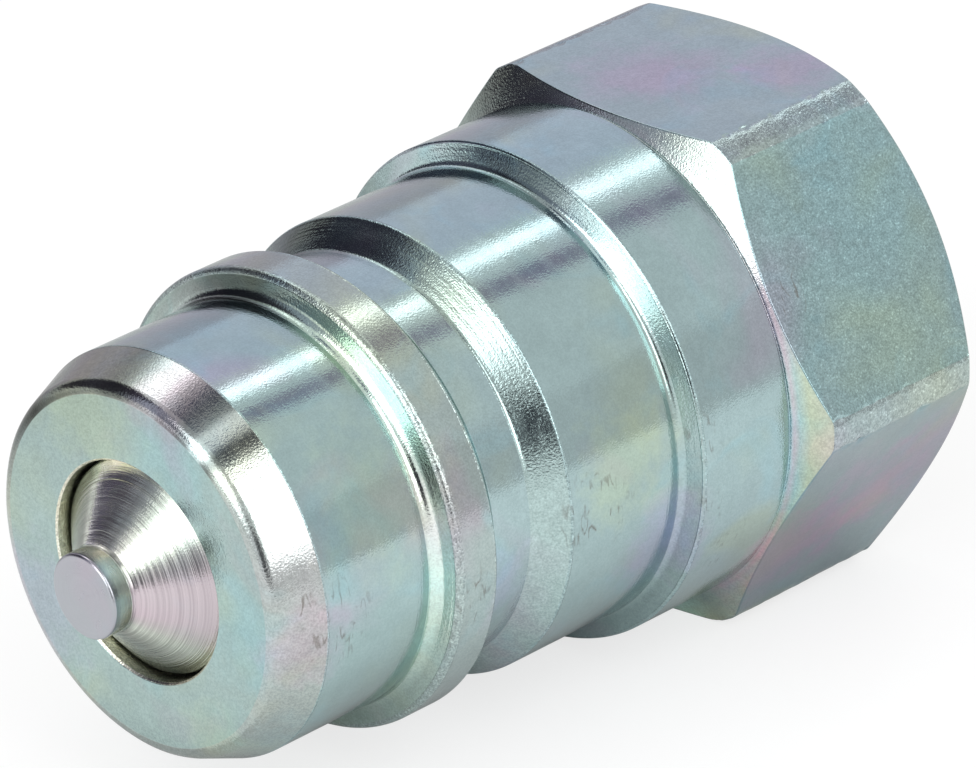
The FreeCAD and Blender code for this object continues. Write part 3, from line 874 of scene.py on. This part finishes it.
def makeRetainer():
    # A closed profile carried round the axis: point (x, r cos a, r sin a).
    s = retainerShape
    end = s["start"] + s["length"]
    profile = [
        (s["start"], s["innerR"], s["boreEdge"], 1), (s["start"], s["outerR"], s["edge"], 0),
        (end, s["outerR"], s["edge"], 1), (end, s["innerR"], s["boreEdge"], 0),
    ]
    stations, radii, _ = roundedPath(profile, closed=True)
    mesh = gridMesh("sealRetainer", turned(stations, radii, evenAngles(s["steps"])), True, True)
    storeTone(mesh, np.tile((*poppetShape["coneTone"], 1), (len(mesh.vertices), 1)))
    storeValues(mesh, "plateCut", np.full(len(mesh.vertices), s["marks"]))
    tidyMesh(mesh, sharpAngle=34)
    addPiece(mesh, "valve", "plated_poppet", turnedPoppetPlate, "seal_retainer")


springShape = {
    "start": 5.754, "end": 18.15, "wireR": 0.5, "meanR": 3.6, "turns": 7.0, "closedTurns": 1.0,
    "closedPitch": 1.05, "ground": 0.25, "stepsPerTurn": 48, "sectionSteps": 14,
}


def makeSpring():
    # A tube round the helix (x(t), R cos 2 pi t, R sin 2 pi t): closed at both ends, even between.
    # What would stand past the two seats is ground flat.
    s = springShape
    t = np.linspace(0, s["turns"], int(s["turns"] * s["stepsPerTurn"]) + 1)
    first = s["start"] + s["wireR"] - s["ground"]
    last = s["end"] - s["wireR"] + s["ground"]
    rise = s["closedTurns"] * s["closedPitch"]
    x = np.interp(t, [0, s["closedTurns"], s["turns"] - s["closedTurns"], s["turns"]],
                  [first, first + rise, last - rise, last])
    a = 2 * np.pi * t
    line = np.stack([x, s["meanR"] * np.cos(a), s["meanR"] * np.sin(a)], -1)
    along = np.gradient(line, axis=0)
    along /= np.linalg.norm(along, axis=1)[:, None]
    out = np.stack([0 * a, np.cos(a), np.sin(a)], -1)
    side = np.cross(along, out)
    u = evenAngles(s["sectionSteps"])
    ring = out[:, None] * np.cos(u)[:, None] + side[:, None] * np.sin(u)[:, None]
    points = line[:, None] + ring * s["wireR"]
    ends = [line[i:i + 1, None].repeat(len(u), 1) for i in (0, len(line) - 1)]
    points = np.concatenate([ends[0], points, ends[1]])
    points[..., 0] = np.clip(points[..., 0], s["start"], s["end"])
    points = points * mm + np.array([noseX, 0, 0])
    mesh = gridMesh("valveSpring", points, False, True)
    tidyMesh(mesh, sharpAngle=45, mergeDistance=1e-8)
    faceOutward(mesh)
    spring = addPiece(mesh, "body", "spring_steel", springWire, "valve_spring")
    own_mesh(spring)


makePoppet()
makeSeal()
makeRetainer()
makeSpring()
for node, material in (("valve_guide", guidePlate), ("snap_ring", ringPhosphate)):
    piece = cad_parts[node]
    piece.data.materials.clear()
    piece.data.materials.append(material)
print("valve pieces made")

# Camera
cameraView = {
    "azimuth": -44.01, "elevation": 27.238, "roll": 1.549,
    "focalLength": 274.94, "sensor": 36.0,
    "noseRight": -13.749, "noseDown": 7.356, "noseAway": 291.125,
}


def makeCamera():
    # Looks along azimuth and elevation, rolled a little, and stands where it has the nose face's
    # centre noseRight, noseDown and noseAway of itself, in millimetres.
    v = cameraView
    azimuth, elevation, roll = (math.radians(v[k]) for k in ("azimuth", "elevation", "roll"))
    level = math.cos(elevation)
    back = Vector((math.sin(azimuth) * level, -math.cos(azimuth) * level, math.sin(elevation)))
    turn = back.to_track_quat("Z", "Y").to_matrix() @ Matrix.Rotation(-roll, 3, "Z")
    right, up, back = turn.col[0].copy(), turn.col[1].copy(), turn.col[2].copy()
    nose = Vector((noseX, 0, 0))
    place = nose - (right * v["noseRight"] - up * v["noseDown"] - back * v["noseAway"]) * mm
    data = bpy.data.cameras.new("camera")
    data.lens = v["focalLength"]
    data.sensor_width = v["sensor"]
    data.clip_start = 0.005
    data.clip_end = 20
    camera = newObject("camera", data)
    camera.matrix_world = Matrix.Translation(place) @ turn.to_4x4()
    bpy.context.scene.camera = camera


makeCamera()

# Table, lamps and boards
# Each lamp stands at a direction from the body's middle: longitude about Z from +X, latitude
# above the table, tilt in its own plane, distance, width and height in metres, radiance.
# Boards are only seen in reflections: colour and the directions of their corners.
studio = {
    "middle": (-0.018, 0.0, 0.0), "tableZ": -0.011, "tableRadius": 0.115, "tableGrey": 0.86,
    "tableRim": (0.4, 0.95), "tableSteps": 96, "tableGlow": 0.72, "tableLit": 0.9,
    "worldLight": 0.9, "boardDistance": 0.4,
    # the table in reflections, a painted shadow beside the body and painted shade far behind it:
    # from where to where it brightens beside the body's line, in millimetres, and its share at the
    # start; the same behind the body, where it darkens; and the stations between which it brightens
    # in front of the nose, in metres
    "tableShadowBeside": (3.0, 13.0, 0.68), "tableShadeBehind": (22.0, 50.0, 0.55),
    "tableShadowNose": (-0.036, -0.041),
    "lamps": {
        "frontWindow": (187, 27, -4, 0.5, 0.37, 0.45, 2.8),
        "sideWindow": (-98, 35, 0, 0.5, 0.20, 0.47, 2.6),
        "topStrip": (16, 54, 0, 0.5, 0.055, 0.30, 1.8),
        "backPatch": (81, 57, 0, 0.5, 0.10, 0.16, 1.5),
    },
    "boards": {
        "darkBoard": ((0.05, 0.045, 0.065), (140, -16), (134, -16), (131, 1), (90, 1), (87, 40),
                      (136, 56)),
        "frontShade": ((0.40, 0.42, 0.50), (139, 1), (150, 9), (160, 10), (161, 44), (152, 58),
                       (136, 56)),
        "cameraHalo": ((0.85, 0.85, 0.88), (-178, -8), (-150, -12), (-147, 30), (-161, 14),
                       (-177, 4)),
        "cameraBoard": ((0.035, 0.035, 0.045), (-150, -3), (-122, 1), (-122, 21), (-141, 25),
                        (-148, 16)),
        "lowCard": ((2.4, 2.4, 2.4), (150, -7), (164, -7), (164, 8), (155, 8)),
        "stripEdge": ((0.42, 0.36, 0.46), (-12, 35), (-2, 35), (-4, 75), (-20, 75)),
        "backWall": ((0.58, 0.53, 0.60), (86, -22), (26, -22), (44, 12), (70, 34), (86, 36)),
        "backSky": ((0.82, 0.80, 0.93), (80, 36), (70, 34), (44, 12), (30, 30), (26, 50),
                    (70, 54)),
        "zenithBoard": ((0.14, 0.16, 0.24), (50, 73), (130, 73), (170, 86), (-20, 86)),
        "windowBar": ((0.16, 0.17, 0.24), (-80, 64), (-126, 62), (-130, 73), (-78, 74)),
        "sideWall": ((0.77, 0.76, 0.76), (-80, -8), (-30, -8), (-36, 20), (-80, 20)),
    },
}


def direction(longitude, latitude):
    lon, lat = math.radians(longitude), math.radians(latitude)
    return Vector((math.cos(lat) * math.cos(lon), math.cos(lat) * math.sin(lon), math.sin(lat)))


def makeLamps():
    # A sheet of radiance L and area A gives off pi L A watts.
    for name, (lon, lat, tilt, distance, width, height, radiance) in studio["lamps"].items():
        data = bpy.data.lights.new(name, "AREA")
        data.shape = "RECTANGLE"
        data.size = width
        data.size_y = height
        data.energy = math.pi * radiance * width * height
        lamp = newObject(name, data)
        way = direction(lon, lat)
        turn = way.to_track_quat("Z", "Y").to_matrix() @ Matrix.Rotation(math.radians(tilt), 3, "Z")
        place = Vector(studio["middle"]) + way * distance
        lamp.matrix_world = Matrix.Translation(place) @ turn.to_4x4()
        lamp.visible_camera = False


def sheet(name, corners, material):
    mesh = bpy.data.meshes.new(name)
    mesh.from_pydata([tuple(c) for c in corners], [], [tuple(range(len(corners)))])
    mesh.materials.append(material)
    made = newObject(name, mesh)
    return made


def makeBoards():
    for name, (tone, *corners) in studio["boards"].items():
        material, tree = plainMaterial(name)
        material.cycles.emission_sampling = "NONE"
        glow = put(tree, "Emission", {"Color": (*tone, 1), "Strength": 1.0})
        put(tree, "OutputMaterial", {"Surface": glow.outputs[0]})
        middle, distance = Vector(studio["middle"]), studio["boardDistance"]
        board = sheet(name, [middle + direction(*c) * distance for c in corners], material)
        board.visible_camera = False
        board.visible_shadow = False
        board.visible_diffuse = False


def makeTable():
    # White for the camera, and a share of plain lit white, which keeps the body's soft shadow.
    # Towards the rim it all turns white. In reflections it is darker close to the body's line, a
    # painted shadow, and far behind it, painted shade.
    material, tree = plainMaterial("whiteTable")
    s = studio
    x, z, radius = s["middle"][0], s["tableZ"], s["tableRadius"]
    place = put(tree, "TexCoord").outputs["Object"]
    away = put(tree, "VectorMath", {0: place, 1: (x, 0, z)}, operation="DISTANCE").outputs["Value"]
    inner, outer = s["tableRim"]
    rim = span(tree, away, radius * inner, radius * outer, s["tableGlow"], 1.0)
    rays = put(tree, "LightPath")
    share = times(tree, rays.outputs["Is Camera Ray"], rim)
    parts = put(tree, "SeparateXYZ", {0: place})
    # The table's colour in reflections: a painted shadow beside the body's line and painted shade
    # far behind it.
    across = times(tree, parts.outputs[1], 1 / mm)
    near = span(tree, calc(tree, "ABSOLUTE", across), *s["tableShadowBeside"], 1.0)
    near = calc(tree, "MAXIMUM", near, span(tree, parts.outputs[0], *s["tableShadowNose"]))
    start, full, darkest = s["tableShadeBehind"]
    behind = span(tree, across, start, full, 1.0, darkest)
    mirrored = grey(tree, times(tree, times(tree, near, behind), s["tableGrey"]))
    plain = (s["tableLit"],) * 3 + (1,)
    seen = blendColor(tree, rays.outputs["Is Glossy Ray"], plain, mirrored)
    lit = put(tree, "BsdfDiffuse", {"Color": seen})
    glow = put(tree, "Emission", {"Color": (1, 1, 1, 1), "Strength": 1.0})
    mixed = put(tree, "MixShader", {0: share, 1: lit.outputs[0], 2: glow.outputs[0]})
    put(tree, "OutputMaterial", {"Surface": mixed.outputs[0]})
    turn = evenAngles(s["tableSteps"])
    corners = np.stack([x + radius * np.cos(turn), radius * np.sin(turn), 0 * turn + z], 1)
    sheet("table", corners.tolist(), material)


def makeWorld():
    world = bpy.data.worlds.new("studioAir")
    world.use_nodes = True
    tree = world.node_tree
    rays = put(tree, "LightPath")
    strength = span(tree, rays.outputs["Is Camera Ray"], 0.0, 1.0, studio["worldLight"], 1.0)
    air = tree.nodes["Background"]
    air.inputs["Color"].default_value = (1, 1, 1, 1)
    tree.links.new(strength, air.inputs["Strength"])
    bpy.context.scene.world = world


makeLamps()
makeBoards()
makeTable()
makeWorld()
bpy.context.scene.view_settings.view_transform = "Standard"
print("camera, table and lamps placed")
